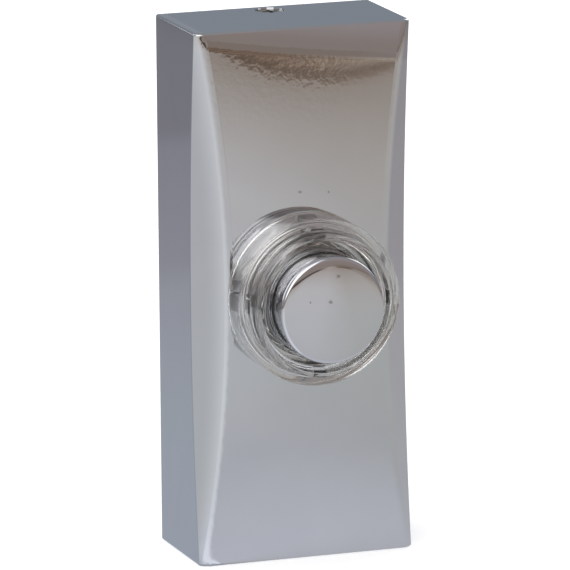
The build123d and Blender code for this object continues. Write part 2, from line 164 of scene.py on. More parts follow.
def plated_finish(name, clean, hazy, plating, pits, buffing=None, painted_shade_start=None):
    """Bright chrome: a dark, slightly blue mirror that the polished metal below makes wavy.

    Pits are given as X, Y, Z and radius in millimetres.
    """
    material, tree, shader, place = new_finish(name)
    axes = add_node(tree, "SeparateXYZ", {0: place}).node.outputs
    haze = add_node(tree, "TexNoise", {
        "Vector": place, "Scale": 1 / plating.haze_size, "Detail": 3.0, "Roughness": 0.6})
    colour = add_node(tree, "Mix", {0: haze, COLOUR_A: clean, COLOUR_B: hazy}, **BLEND)
    blur = add_node(tree, "MapRange", {
        "Value": haze, "From Min": 0.3, "From Max": 0.75,
        "To Min": plating.roughness, "To Max": plating.roughness * 2.0})
    # Orange peel, which fades out below the top end and towards the right
    wave = add_node(tree, "TexNoise", {
        "Vector": place, "Scale": 1 / plating.wave_length, "Detail": 1.0, "Roughness": 0.5})
    peel = add_node(tree, "MapRange", {
        "Value": axes["Z"], "From Min": plating.wave_floor - plating.wave_fade,
        "From Max": plating.wave_floor, "To Min": plating.wave_height * plating.wave_rest,
        "To Max": plating.wave_height}, **SMOOTH)
    calm = add_node(tree, "MapRange", {
        "Value": axes["X"], "From Min": plating.calm_start, "From Max": plating.calm_end,
        "To Min": 1.0, "To Max": plating.calm_rest}, **SMOOTH)
    ripple = add_node(tree, "Math", {0: peel, 1: calm}, operation="MULTIPLY")
    form = 0.0 if buffing is None else buffed_form(tree, axes, buffing)
    relief = add_node(tree, "Math", {0: wave, 1: ripple, 2: form}, operation="MULTIPLY_ADD")
    swell = add_node(tree, "Bump", {"Strength": 1.0, "Distance": 1.0, "Height": relief})
    # Shallow pits of ragged outline, with soft edges
    ragged = add_node(tree, "VectorMath", {
        0: wave.node.outputs["Color"], 1: [plating.pit_ragged] * 3, 2: place},
        operation="MULTIPLY_ADD")
    for *spot, radius in pits:
        middle = [c * MM + plating.pit_ragged / 2 for c in spot]
        reach = add_node(tree, "VectorMath", {0: ragged, 1: middle}, "Value", operation="DISTANCE")
        inside = add_node(tree, "MapRange", {
            "Value": reach, "From Min": radius * MM, "From Max": 0.0}, **SMOOTH)
        colour = add_node(tree, "Mix", {
            0: inside, COLOUR_A: colour, COLOUR_B: linear("#959392")}, **BLEND)
        blur = add_node(tree, "Mix", {0: inside, VALUE_A: blur, VALUE_B: plating.pit_roughness})
    if painted_shade_start is not None:
        # Painted shade: the side of a moving part is greyed behind its face, more on the left
        deep = add_node(tree, "MapRange", {
            "Value": axes["Y"], "From Min": painted_shade_start,
            "From Max": painted_shade_start + plating.painted_shade_run}, **SMOOTH)
        left = add_node(tree, "MapRange", {
            "Value": axes["X"], "From Min": plating.painted_shade_right, "From Max": plating.painted_shade_left},
            **SMOOTH)
        painted_shade = add_node(tree, "Math", {0: deep, 1: left}, operation="MULTIPLY")
        colour = add_node(tree, "Mix", {
            0: painted_shade, COLOUR_A: colour, COLOUR_B: linear("#a0a0a6")}, **BLEND)
    feed(shader, {"Base Color": colour, "Roughness": blur, "Normal": swell, "Metallic": 1.0})
    return material


def clear_finish(name, collar):
    """Clear moulded plastic: a glossy skin with the faint waves of the flow into the mould."""
    material, tree, shader, place = new_finish(name)
    flow_size, flow_height = 3 * MM, 0.002 * MM
    flow = add_node(tree, "TexNoise", {"Vector": place, "Scale": 1 / flow_size, "Detail": 2.0})
    feed(shader, {
        "Base Color": collar.tint,
        "Transmission Weight": collar.clearness,
        "IOR": 1.585,
        "Roughness": add_node(tree, "MapRange", {
            "Value": flow, "To Min": collar.roughness * 0.5, "To Max": collar.roughness * 1.5}),
        "Normal": add_node(tree, "Bump", {
            "Strength": 1.0, "Distance": flow_height, "Height": flow})})
    return material


def moulded_finish(name, light, dark, roughness, grain):
    """Opaque moulded plastic: soft, even sheen with the fine grain of a spark-eroded mould."""
    material, tree, shader, place = new_finish(name)
    cloud_size, spread, depth = 9 * MM, 0.07, grain * 0.08
    cloud = add_node(tree, "TexNoise", {"Vector": place, "Scale": 1 / cloud_size, "Detail": 3.0})
    spark = add_node(tree, "TexNoise", {
        "Vector": place, "Scale": 1 / grain, "Detail": 2.0, "Roughness": 0.6})
    feed(shader, {
        "Base Color": add_node(tree, "Mix", {0: cloud, COLOUR_A: light, COLOUR_B: dark}, **BLEND),
        "IOR": 1.5,
        "Roughness": add_node(tree, "MapRange", {
            "Value": spark, "To Min": roughness - spread, "To Max": roughness + spread}),
        "Normal": add_node(tree, "Bump", {"Strength": 0.35, "Distance": depth, "Height": spark})})
    return material


def worked_metal_finish(name, bright, dull, roughness, streak, run):
    """Rolled, drawn or plated metal: fine streaks along the work and a patchy dull bloom."""
    material, tree, shader, place = new_finish(name)
    bloom_size, dulling, depth = 2.5 * MM, 0.15, streak * 0.1
    drawn = add_node(tree, "Mapping", {"Vector": place, "Scale": run})
    lines = add_node(tree, "TexNoise", {"Vector": drawn, "Scale": 1 / streak, "Detail": 2.0})
    bloom = add_node(tree, "TexNoise", {
        "Vector": place, "Scale": 1 / bloom_size, "Detail": 4.0, "Roughness": 0.65})
    feed(shader, {
        "Base Color": add_node(tree, "Mix", {0: bloom, COLOUR_A: bright, COLOUR_B: dull}, **BLEND),
        "Metallic": 1.0,
        "Roughness": add_node(tree, "MapRange", {
            "Value": bloom, "From Min": 0.3, "From Max": 0.7,
            "To Min": roughness, "To Max": roughness + dulling}),
        "Normal": add_node(tree, "Bump", {"Strength": 0.25, "Distance": depth, "Height": lines})})
    return material


def tin_ends(material, covered, paint):
    """Leaves bright tinned wire where the cover of resin or lacquer ends."""
    tree = material.node_tree
    tin_roughness, cover_roughness = 0.28, 0.25
    feed(tree.nodes["Principled BSDF"], {
        "Base Color": add_node(tree, "Mix", {
            0: covered, COLOUR_A: linear("#c9c8c3"), COLOUR_B: paint}, **BLEND),
        "Roughness": add_node(tree, "Mix", {
            0: covered, VALUE_A: tin_roughness, VALUE_B: cover_roughness}),
        "Metallic": add_node(tree, "Mix", {0: covered, VALUE_A: 1.0, VALUE_B: 0.0})})


def dress(node_name, material):
    """Gives a CAD node its finish."""
    node = NODES[node_name]
    node.data.materials.clear()
    node.data.materials.append(material)


def turn_profile(builder, steps):
    """Turns the wires in a bmesh about the button's axis into a closed skin."""
    bmesh.ops.spin(
        builder, geom=builder.verts[:] + builder.edges[:], cent=(0, 0, 0), axis=(0, 1, 0),
        angle=2 * math.pi, steps=steps, use_merge=True)
    bmesh.ops.remove_doubles(builder, verts=builder.verts[:], dist=WELD)
    bmesh.ops.recalc_face_normals(builder, faces=builder.faces[:])


def shade(builder, sharp):
    """Smooths the faces of a bmesh, but not the edges that bend by a sharp angle."""
    for face in builder.faces:
        face.smooth = True
    for edge in builder.edges:
        edge.smooth = edge.calc_face_angle() < sharp


def add_object(builder, name, material):
    """Turns a bmesh into an object of one material in the scene."""
    mesh = bpy.data.meshes.new(name)
    builder.to_mesh(mesh)
    builder.free()
    mesh.materials.append(material)
    piece = bpy.data.objects.new(name, mesh)
    bpy.context.scene.collection.objects.link(piece)
    return piece


def keep_piece(builder, name, material, node_name, body):
    """Turns a bmesh into a piece that stands for a CAD node and rides on its body."""
    piece = add_object(builder, name, material)
    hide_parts(node_name)
    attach(piece, body)
    return piece


class PlatingSettings(bpy.types.PropertyGroup):
    """Chrome plate on the cover and the cap."""

    cover_clean: FloatVectorProperty(
        name="Cover", description="Tone of the cover's plate", subtype="COLOR", size=4,
        default=linear("#c6c7ca"))
    cover_hazy: FloatVectorProperty(
        name="Cover haze", description="Tone of its smudges", subtype="COLOR", size=4,
        default=linear("#bebfc3"))
    cap_clean: FloatVectorProperty(
        name="Cap", description="Tone of the cap's plate", subtype="COLOR", size=4,
        default=linear("#c8c8cb"))
    cap_hazy: FloatVectorProperty(
        name="Cap haze", description="Tone of its smudges", subtype="COLOR", size=4,
        default=linear("#c0c0c4"))
    roughness: FloatProperty(
        name="Blur", description="Roughness of clean plate", default=0.03, subtype="FACTOR")
    haze_size: FloatProperty(
        name="Haze size", description="Width of the smudges", default=12 * MM, unit="LENGTH")
    wave_length: FloatProperty(
        name="Wave length", description="Spacing of the orange peel's waves",
        default=0.85 * MM, unit="LENGTH")
    wave_height: FloatProperty(
        name="Wave height", description="Height of the orange peel's waves",
        default=0.003 * MM, unit="LENGTH", precision=6)
    wave_floor: FloatProperty(
        name="Wave floor", description="Height above which the orange peel is full",
        default=29 * MM, unit="LENGTH")
    wave_fade: FloatProperty(
        name="Wave fade", description="Height below the floor over which it fades",
        default=5 * MM, unit="LENGTH")
    wave_rest: FloatProperty(
        name="Wave rest", description="Share of the orange peel that stays below that",
        default=0.15, subtype="FACTOR")
    calm_start: FloatProperty(
        name="Calm start", description="Place across where the orange peel starts to calm",
        default=2 * MM, unit="LENGTH")
    calm_end: FloatProperty(
        name="Calm end", description="Place across where it is calm",
        default=10 * MM, unit="LENGTH")
    calm_rest: FloatProperty(
        name="Calm rest", description="Share of the orange peel that stays there",
        default=0.2, subtype="FACTOR")
    pit_ragged: FloatProperty(
        name="Pit raggedness", description="How far a pit's outline wanders",
        default=0.6 * MM, unit="LENGTH")
    pit_roughness: FloatProperty(
        name="Pit blur", description="Roughness in a pit", default=0.3, subtype="FACTOR")
    # Painted shade that greys the cap's side behind its face, more on the left: where it starts,
    # its run, and its right and left ends
    painted_shade_start: FloatProperty(
        name="Film start", description="Where the film on its side starts, behind the cap's face",
        default=0.5 * MM, unit="LENGTH")
    painted_shade_run: FloatProperty(
        name="Film run", description="Depth over which the film thickens",
        default=1.0 * MM, unit="LENGTH")
    painted_shade_right: FloatProperty(
        name="Film right", description="Place across where the film starts",
        default=-3.5 * MM, unit="LENGTH")
    painted_shade_left: FloatProperty(
        name="Film left", description="Place across where the film is full",
        default=-7.0 * MM, unit="LENGTH")


class BuffingSettings(bpy.types.PropertyGroup):
    """Shallow forms that buffing left on the cover, seen only in what it mirrors."""

    saddle_shift: FloatProperty(
        name="Saddle shift", description="Middle of the buffed saddle",
        default=4.3 * MM, unit="LENGTH")
    saddle_bend: FloatProperty(
        name="Saddle bend", description="Rise by the square of across times up, in 1/m3",
        default=600.0)
    roll_height: FloatProperty(
        name="Roll-off height", description="Height where the top end starts to roll off",
        default=35.4 * MM, unit="LENGTH")
    roll_slant: FloatProperty(
        name="Roll-off slant", description="Fall of that height to the right", default=0.115,
        subtype="FACTOR")
    roll_bend: FloatProperty(
        name="Roll-off bend", description="Curvature of the roll-off, in 1/m", default=30.0)
    edge_place: FloatProperty(
        name="Edge place", description="Where the left bevel's edge is drawn over most",
        default=-12.48 * MM, unit="LENGTH")
    edge_bow: FloatProperty(
        name="Edge bow", description="How far the edge swings out at the ends",
        default=3.7 * MM, unit="LENGTH")
    edge_run_in: FloatProperty(
        name="Edge run-in", description="Width drawn over on the bevel",
        default=2.5 * MM, unit="LENGTH")
    edge_run_out: FloatProperty(
        name="Edge run-out", description="Width drawn over on the front",
        default=1.1 * MM, unit="LENGTH")
    edge_slope: FloatProperty(
        name="Edge slope", description="Steepest slope of the drawn edge", default=0.27,
        subtype="FACTOR")


class CollarSettings(bpy.types.PropertyGroup):
    """Clear light collar: its plastic and its sizes."""

    tint: FloatVectorProperty(
        name="Tint", description="Colour of the clear plastic", subtype="COLOR", size=4,
        default=linear("#fbfaf7"))
    clearness: FloatProperty(
        name="Clearness", description="Share of light that isn't scattered", default=0.97,
        subtype="FACTOR")
    roughness: FloatProperty(
        name="Blur", description="Roughness of the moulded face", default=0.02,
        subtype="FACTOR")
    bore_gap: FloatProperty(
        name="Bore gap", description="Bore past the cap", default=0.25 * MM, unit="LENGTH")
    tube_wall: FloatProperty(
        name="Tube wall", description="Wall of the guide tube", default=0.6 * MM, unit="LENGTH")
    wall: FloatProperty(
        name="Wall", description="Walls beside the groove", default=1.2 * MM, unit="LENGTH")
    roof: FloatProperty(
        name="Roof", description="Thickness over the groove", default=1.4 * MM, unit="LENGTH")
    tier_height: FloatProperty(
        name="Tier height", description="First tier above the cover", default=5.2 * MM,
        unit="LENGTH")
    tier_ledge: FloatProperty(
        name="Tier ledge", description="Width of the first tier's step", default=1.65 * MM,
        unit="LENGTH")
    rim_draft: FloatProperty(
        name="Rim draft", description="Slope of the rim's outside", default=0.1 * MM,
        unit="LENGTH")
    rim_width: FloatProperty(
        name="Rim width", description="Width of the rim", default=0.7 * MM, unit="LENGTH")
    well_drop: FloatProperty(
        name="Well drop", description="Floor inside the rim, below it", default=1.6 * MM,
        unit="LENGTH")
    well_slope: FloatProperty(
        name="Well slope", description="Slope of the rim's inside", default=0.6 * MM,
        unit="LENGTH")
    edge_round: FloatProperty(
        name="Edge round", description="Rounding of the ring's edges", default=0.18 * MM,
        unit="LENGTH")
    leg_gap: FloatProperty(
        name="Leg gap", description="Snap legs from the guide tube", default=1.0 * MM,
        unit="LENGTH")
    leg_thickness: FloatProperty(
        name="Leg thickness", description="Thickness of a snap leg", default=1.0 * MM,
        unit="LENGTH")
    hook_reach: FloatProperty(
        name="Hook reach", description="Hook past its leg", default=0.8 * MM, unit="LENGTH")
    hook_step: FloatProperty(
        name="Hook step", description="Depth in which the hook steps out", default=0.05 * MM,
        unit="LENGTH")
    hook_flat: FloatProperty(
        name="Hook flat", description="Upright part of the hook", default=0.7 * MM,
        unit="LENGTH")
    hook_length: FloatProperty(
        name="Hook length", description="Length of the hook", default=2.3 * MM, unit="LENGTH")
    hook_seat: FloatProperty(
        name="Hook seat", description="Hook behind the cover's front", default=3.1 * MM,
        unit="LENGTH")
    steps: IntProperty(
        name="Steps", description="Sections round the ring", default=192)
    leg_steps: IntProperty(
        name="Leg steps", description="Sections from a leg's middle to its side", default=3)


class ButtonSettings(bpy.types.PropertyGroup):
    """Plated cap of the button."""

    shoulder: FloatProperty(
        name="Shoulder", description="Radius of the soft bend before the edge",
        default=13.0 * MM, unit="LENGTH")
    edge_round: FloatProperty(
        name="Edge round", description="Radius of the edge", default=0.62 * MM, unit="LENGTH")
    wall: FloatProperty(
        name="Wall", description="Thickness of the thimble", default=1.0 * MM, unit="LENGTH")
    roof: FloatProperty(
        name="Roof", description="Thickness at the middle of the face", default=1.35 * MM,
        unit="LENGTH")
    steps: IntProperty(
        name="Steps", description="Sections round the cap", default=128)
    arc_steps: IntProperty(
        name="Arc steps", description="Sections in each arc of the face", default=12)


class SpringSettings(bpy.types.PropertyGroup):
    """Return spring."""

    wire: FloatProperty(
        name="Wire", description="Diameter of the wire", default=0.5 * MM, unit="LENGTH")
    closed_pitch: FloatProperty(
        name="Closed pitch", description="Pitch of the closed coils, in wires", default=1.02,
        subtype="FACTOR")
    coils: IntProperty(
        name="Open coils", description="Turns between the closed ends", default=5)
    steps: IntProperty(
        name="Steps", description="Sections in a turn", default=36)
    sides: IntProperty(
        name="Sides", description="Sides of the wire", default=12)


class LeafSettings(bpy.types.PropertyGroup):
    """Contact leaf."""

    thickness: FloatProperty(
        name="Thickness", description="Thickness of the strip", default=0.3 * MM,
        unit="LENGTH")
    spare: FloatProperty(
        name="Spare", description="Room to the fixed contact, as a share of its height",
        default=0.04, subtype="FACTOR")


class BaseSettings(bpy.types.PropertyGroup):
    """Moulded plastic of the base plate."""

    light: FloatVectorProperty(
        name="Light", description="Lighter tone of the plastic", subtype="COLOR", size=4,
        default=linear("#dedbd2"))
    dark: FloatVectorProperty(
        name="Dark", description="Darker tone of the plastic", subtype="COLOR", size=4,
        default=linear("#d2cec4"))
    roughness: FloatProperty(
        name="Blur", description="Roughness of the plastic", default=0.5, subtype="FACTOR")
    grain: FloatProperty(
        name="Grain", description="Grain of the mould", default=0.35 * MM, unit="LENGTH")


class LampSettings(bpy.types.PropertyGroup):
    """Lamp and its resistor."""

    body_length: FloatProperty(
        name="Lamp length", description="Lamp's resin, without its pins", default=5.3 * MM,
        unit="LENGTH")
    resistor_start: FloatProperty(
        name="Resistor start", description="Near end of the resistor's body",
        default=3.47 * MM, unit="LENGTH")
    resistor_length: FloatProperty(
        name="Resistor length", description="Length of the resistor's body", default=6.3 * MM,
        unit="LENGTH")
    resistor_radius: FloatProperty(
        name="Resistor radius", description="Radius of the resistor's body",
        default=1.15 * MM, unit="LENGTH")
    wire_radius: FloatProperty(
        name="Lead radius", description="Radius of the resistor's leads", default=0.28 * MM,
        unit="LENGTH")
    band_width: FloatProperty(
        name="Band width", description="Painted band, as a share of the body", default=0.09,
        subtype="FACTOR")


class StageSettings(bpy.types.PropertyGroup):
    """Floor, light and camera."""

    azimuth: FloatProperty(
        name="Azimuth", description="Camera to the left of the front", subtype="ANGLE",
        default=math.radians(19.361))
    elevation: FloatProperty(
        name="Elevation", description="Camera above the horizon", subtype="ANGLE",
        default=math.radians(12.271))
    roll: FloatProperty(
        name="Roll", description="Turn of the camera about its view", subtype="ANGLE",
        default=math.radians(-0.462))
    distance: FloatProperty(
        name="Distance", description="Camera to the point it looks at", default=1.0397,
        unit="LENGTH")
    aim: FloatVectorProperty(
        name="Aim", description="Point that the camera looks at", subtype="XYZ", size=3,
        default=(2.63 * MM, -1.40 * MM, -2.19 * MM))
    lens: FloatProperty(
        name="Lens", description="Focal length in millimetres", default=438.8, unit="CAMERA")
    left_light: FloatProperty(
        name="Left light", description="Power of the left softbox", default=2.2, unit="POWER")
    right_light: FloatProperty(
        name="Right light", description="Power of the right softbox", default=1.2,
        unit="POWER")
    floor_gap: FloatProperty(
        name="Floor gap", description="Floor below the push", default=0.02 * MM,
        unit="LENGTH")
    bench_gap: FloatProperty(
        name="Bench gap", description="Mirrored bench below the floor", default=0.1 * MM,
        unit="LENGTH")
    sheet: FloatProperty(
        name="Sheet", description="Width of the floor and of the bench", default=8.0,
        unit="LENGTH")


class BELLPUSH_OT_plate_cover(bpy.types.Operator):
    """Plates the cover and its screw"""

    bl_idname = "bellpush.plate_cover"
    bl_label = "Plate Cover"

    def execute(self, context):
        plating = context.scene.bellpush_plating
        # Chrome plate on die-cast zinc: a mirror with shallow waves, and a few pits in the plate
        pits = [(-1.1, -18.9, 15.6, 0.36), (3.4, -18.9, 15.3, 0.28)]
        dress("cover", plated_finish(
            "chrome_plate_on_cast_zinc", plating.cover_clean, plating.cover_hazy, plating, pits,
            context.scene.bellpush_buffing))
        # Nickel plate on steel: warmer and duller than chrome
        dress("cover_screw", worked_metal_finish(
            "nickel_plate_on_steel", linear("#b9b5ad"), linear("#a39e96"), 0.16, 0.2 * MM,
            (1, 1, 1)))
        return {"FINISHED"}


class BELLPUSH_OT_clear_collar(bpy.types.Operator):
    """Moulds the light collar in clear plastic, with its edges rounded and its snap legs"""

    bl_idname = "bellpush.clear_collar"
    bl_label = "Clear Collar"

    def execute(self, context):
        collar = context.scene.bellpush_collar
        low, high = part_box("light_collar")
        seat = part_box("cover")[0].y
        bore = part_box("button_cap")[1].x + collar.bore_gap
        tube = bore + collar.tube_wall
        outer = high.x
        tier = seat - collar.tier_height
        groove = tier + collar.roof
        rim = outer - collar.tier_ledge - collar.rim_draft
        leg_inner = tube + collar.leg_gap
        leg_outer = leg_inner + collar.leg_thickness
        profile = (
            (bore, high.y), (tube, high.y), (tube, seat), (bore + collar.wall, seat),
            (bore + collar.wall, groove), (leg_inner, groove), (leg_outer, groove),
            (outer - collar.wall, groove), (outer - collar.wall, seat), (outer, seat),
            (outer, tier), (outer - collar.tier_ledge, tier), (rim, low.y),
            (rim - collar.rim_width, low.y),
            (rim - collar.rim_width - collar.well_slope, low.y + collar.well_drop),
            (bore, low.y + collar.well_drop))
        builder = bmesh.new()
        corners = [builder.verts.new((x, y, 0)) for x, y in profile]
        for start, end in zip(corners, corners[1:] + corners[:1]):
            builder.edges.new((start, end))
        turn_profile(builder, collar.steps)
        sharp = math.radians(30)
        rings = [edge for edge in builder.edges if edge.calc_face_angle() > sharp]
        bmesh.ops.bevel(
            builder, geom=rings, offset=collar.edge_round, segments=4, profile=0.5,
            affect="EDGES", material=-1)
        # Four snap legs, drawn out of the groove's roof in steps of depth and outer radius
        middle = (leg_inner + leg_outer) / 2
        quarter = math.pi / 2
        half_leg = 2 * math.pi / collar.steps * collar.leg_steps
        near = 0.1 * MM
        feet = []
        for face in builder.faces:
            spot = face.calc_center_median()
            turn = math.atan2(spot.z, spot.x) % quarter
            on_roof = abs(spot.y - groove) < near and abs(spot.xz.length - middle) < near
            if on_roof and min(turn, quarter - turn) < half_leg:
                feet.append(face)
        hook = seat + collar.hook_seat
        hook_outer = leg_outer + collar.hook_reach
        for depth, reach in (
                (hook, leg_outer), (hook + collar.hook_step, hook_outer),
                (hook + collar.hook_flat, hook_outer), (hook + collar.hook_length, middle)):
            grown = bmesh.ops.extrude_face_region(builder, geom=feet)["geom"]
            bmesh.ops.delete(builder, geom=feet, context="FACES")
            feet = [part for part in grown if isinstance(part, bmesh.types.BMFace)]
            for vert in [part for part in grown if isinstance(part, bmesh.types.BMVert)]:
                radius = vert.co.xz.length
                scale = reach / radius if radius > leg_inner + near else 1.0
                vert.co = (vert.co.x * scale, depth, vert.co.z * scale)
        bmesh.ops.recalc_face_normals(builder, faces=builder.faces[:])
        shade(builder, sharp)
        # Polycarbonate, injection moulded: clear and glossy, with faint flow lines
        keep_piece(
            builder, "collar_ring", clear_finish("clear_polycarbonate_moulded", collar),
            "light_collar", "housing")
        return {"FINISHED"}


class BELLPUSH_OT_plate_button(bpy.types.Operator):
    """Plates the cap and moulds the plunger in it"""

    bl_idname = "bellpush.plate_button"
    bl_label = "Plate Button"

    def execute(self, context):
        plating = context.scene.bellpush_plating
        button = context.scene.bellpush_button
        low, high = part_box("button_cap")
        radius = high.x
        # The face is a shallow dome, which bends more and more towards the edge
        slopes = [math.radians(angle) for angle in (0, 4, 9, 90)]
        rises = [math.sin(slope) for slope in slopes]
        rest = button.shoulder * (rises[2] - rises[1]) + button.edge_round * (rises[3] - rises[2])
        curves = ((radius - rest) / rises[1], button.shoulder, button.edge_round)
        builder = bmesh.new()
        tip = builder.verts.new((0, low.y, 0))
        for curve, start, end in zip(curves, slopes, slopes[1:]):
            outward = Vector((math.sin(start), -math.cos(start), 0))
            tip = bmesh.ops.spin(
                builder, geom=[tip], cent=tip.co - outward * curve, axis=(0, 0, 1),
                angle=end - start, steps=button.arc_steps)["geom_last"][0]
        roof, inner = low.y + button.roof, radius - button.wall
        for x, y in ((radius, high.y), (inner, high.y), (inner, roof), (0, roof)):
            corner = builder.verts.new((x, y, 0))
            builder.edges.new((tip, corner))
            tip = corner
        turn_profile(builder, button.steps)
        shade(builder, math.radians(40))
        # Chrome plate on turned brass: flatter mirror than the cover's, pitted by fingers and
        # weather where the dome has fallen back a little from its middle
        fallen = 0.05
        pits = [(x, low.y / MM + fallen, z, size) for x, z, size in (
            (0.7, 5.1, 0.5), (-0.5, 1.4, 0.48), (-3.6, 1.6, 0.28))]
        # Its side behind the face is greyed, more on the left: painted shade
        plate = plated_finish(
            "chrome_plate_on_turned_brass", plating.cap_clean, plating.cap_hazy, plating, pits,
            painted_shade_start=low.y + plating.painted_shade_start)
        keep_piece(builder, "cap_shell", plate, "button_cap", "button")
        # Acetal, natural white, moulded: waxy
        dress("button_plunger", moulded_finish(
            "natural_acetal_moulded", linear("#e9e8e3"), linear("#e0dfd9"), 0.38, 0.25 * MM))
        return {"FINISHED"}


class BELLPUSH_OT_wind_spring(bpy.types.Operator):
    """Winds the return spring with closed ends"""

    bl_idname = "bellpush.wind_spring"
    bl_label = "Wind Spring"

    def execute(self, context):
        spring = context.scene.bellpush_spring
        low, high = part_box("return_spring")
        mean_radius = (high.x - low.x - spring.wire) / 2
        length = high.y - low.y - spring.wire
        closed = spring.wire * spring.closed_pitch
        opened = (length - 2 * closed) / spring.coils
        builder = bmesh.new()
        bmesh.ops.create_circle(
            builder, segments=spring.sides, radius=spring.wire / 2,
            matrix=Matrix.Translation((mean_radius, high.y - spring.wire / 2, 0)))
        section = builder.verts[:] + builder.edges[:]
        for turns, pitch in ((1, closed), (spring.coils, opened), (1, closed)):
            section = bmesh.ops.spin(
                builder, geom=section, cent=(0, 0, 0), axis=(0, 1, 0),
                dvec=(0, -pitch / spring.steps, 0), angle=-2 * math.pi * turns,
                steps=turns * spring.steps)["geom_last"]
        bmesh.ops.holes_fill(builder, edges=builder.edges[:], sides=0)
        bmesh.ops.recalc_face_normals(builder, faces=builder.faces[:])
        for face in builder.faces:
            face.smooth = len(face.verts) == 4
        # Drawn spring wire: grey, satin, with drawing lines round the coil
        piece = keep_piece(builder, "spring_coil", worked_metal_finish(
            "drawn_spring_wire", linear("#a7a8aa"), linear("#8b8a88"), 0.24, 0.15 * MM, (1, 3, 1)),
            "return_spring", "housing")
        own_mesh(piece)
        return {"FINISHED"}


class BELLPUSH_OT_form_leaf(bpy.types.Operator):
    """Forms the contact leaf, which bends down as the button is pressed"""
    # Forms the contact leaf from its CAD node's mesh

    bl_idname = "bellpush.form_leaf"
    bl_label = "Form Leaf"

    def execute(self, context):
        builder = bmesh.new()
        builder.from_mesh(NODES["moving_contact"].data)
        bmesh.ops.remove_doubles(builder, verts=builder.verts[:], dist=WELD)
        for face in builder.faces:
            face.smooth = False
        # Phosphor bronze, rolled: reddish, with rolling lines along the strip
        piece = keep_piece(builder, "contact_leaf", worked_metal_finish(
            "rolled_phosphor_bronze", linear("#cf9a68"), linear("#b27c4f"), 0.26, 0.12 * MM,
            (1, 1, 0.1)), "moving_contact", "housing")
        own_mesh(piece)
        return {"FINISHED"}


class BELLPUSH_OT_finish_base(bpy.types.Operator):
    """Gives the base plate its moulded plastic"""

    bl_idname = "bellpush.finish_base"
    bl_label = "Finish Base"

    def execute(self, context):
        base = context.scene.bellpush_base
        # ABS, off-white, moulded in a spark-eroded tool: an even satin, its grain drawn coarse
        # enough to show
        dress("base_plate", moulded_finish(
            "off_white_abs_moulded", base.light, base.dark, base.roughness, base.grain))
        return {"FINISHED"}


class BELLPUSH_OT_finish_contacts(bpy.types.Operator):
    """Finishes the fixed contact and all nuts, washers and terminal screws"""

    bl_idname = "bellpush.finish_contacts"
    bl_label = "Finish Contacts"

    def execute(self, context):
        # Brass, rolled: yellow, with rolling lines along the strip
        brass = worked_metal_finish(
            "rolled_brass", linear("#d9b765"), linear("#bd9a4e"), 0.24, 0.12 * MM, (1, 1, 0.1))
        # Zinc plate on steel: pale blue-grey, satin, with a patchy bloom
        zinc = worked_metal_finish(
            "zinc_plate_on_steel", linear("#c9ccd0"), linear("#aeb0b1"), 0.22, 0.2 * MM, (1, 1, 1))
        for name in NODES:
            if name.endswith(("fixed_contact", "_nut")):
                dress(name, brass)
            elif name.endswith(("clamp_washer", "terminal_screw")):
                dress(name, zinc)
        return {"FINISHED"}


class BELLPUSH_OT_finish_lamp(bpy.types.Operator):
    """Finishes the lamp, its wire and its resistor"""

    bl_idname = "bellpush.finish_lamp"
    bl_label = "Finish Lamp"

    def execute(self, context):
        lamp = context.scene.bellpush_lamp
        margin = 0.01 * MM
        # Epoxy, cast: milky white gloss, on tinned pins
        resin = moulded_finish(
            "milky_epoxy_cast", linear("#f1efe6"), linear("#e6e3d8"), 0.22, 0.4 * MM)
        tree = resin.node_tree
        place = add_node(tree, "TexCoord", output="Object")
        axes = add_node(tree, "SeparateXYZ", {0: place}).node.outputs
        resin_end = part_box("lamp")[0].y + lamp.body_length + margin
        body = add_node(tree, "Math", {0: axes["Y"], 1: resin_end}, operation="LESS_THAN")
        milky = tree.nodes["Principled BSDF"].inputs["Base Color"].links[0].from_socket
        tin_ends(resin, body, milky)
        dress("lamp", resin)

        # PVC sleeve, extruded: black, soft sheen
        dress("lamp_lead", moulded_finish(
            "black_pvc_extruded", linear("#1d1d1f"), linear("#161617"), 0.42, 0.3 * MM))

        # Lacquer, dipped: beige gloss with four painted bands, on tinned leads
        beige = "#c9ad82"
        lacquer = moulded_finish(
            "beige_lacquer_dipped", linear(beige), linear("#bb9d70"), 0.25, 0.5 * MM)
        tree = lacquer.node_tree
        place = add_node(tree, "TexCoord", output="Object")
        axes = add_node(tree, "SeparateXYZ", {0: place}).node.outputs
        low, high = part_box("lamp_resistor")
        middle = (0, low.y + lamp.resistor_radius, high.z - lamp.resistor_radius)
        offset = add_node(tree, "VectorMath", {0: place, 1: middle}, operation="SUBTRACT")
        across = add_node(tree, "VectorMath", {0: offset, 1: (0, 1, 1)}, operation="MULTIPLY")
        radius = add_node(tree, "VectorMath", {0: across}, "Value", operation="LENGTH")
        along = add_node(tree, "MapRange", {
            "Value": axes["X"], "From Min": lamp.resistor_start,
            "From Max": lamp.resistor_start + lamp.resistor_length}, clamp=False)
        # Inside both the body's length, and a little over, and its radius, clear of the lead
        lengthwise = add_node(tree, "Math", {0: along, 1: 0.5, 2: 0.505}, operation="COMPARE")
        thick = (lamp.resistor_radius + lamp.wire_radius) / 2
        crosswise = add_node(tree, "Math", {
            0: radius, 1: thick, 2: lamp.resistor_radius - thick + 2 * margin},
            operation="COMPARE")
        body = add_node(tree, "Math", {0: lengthwise, 1: crosswise}, operation="MULTIPLY")
        bands = add_node(tree, "ValToRGB", {0: along})
        bands.node.color_ramp.interpolation = "CONSTANT"
        stops = [(0.0, beige)]
        for start, paint in (
                (0.16, "#6b3f22"), (0.34, "#1a1a1a"), (0.52, "#b0281f"), (0.76, "#a98434")):
            stops += [(start, paint), (start + lamp.band_width, beige)]
        set_stops(bands, stops)
        tin_ends(lacquer, body, bands)
        dress("lamp_resistor", lacquer)
        return {"FINISHED"}


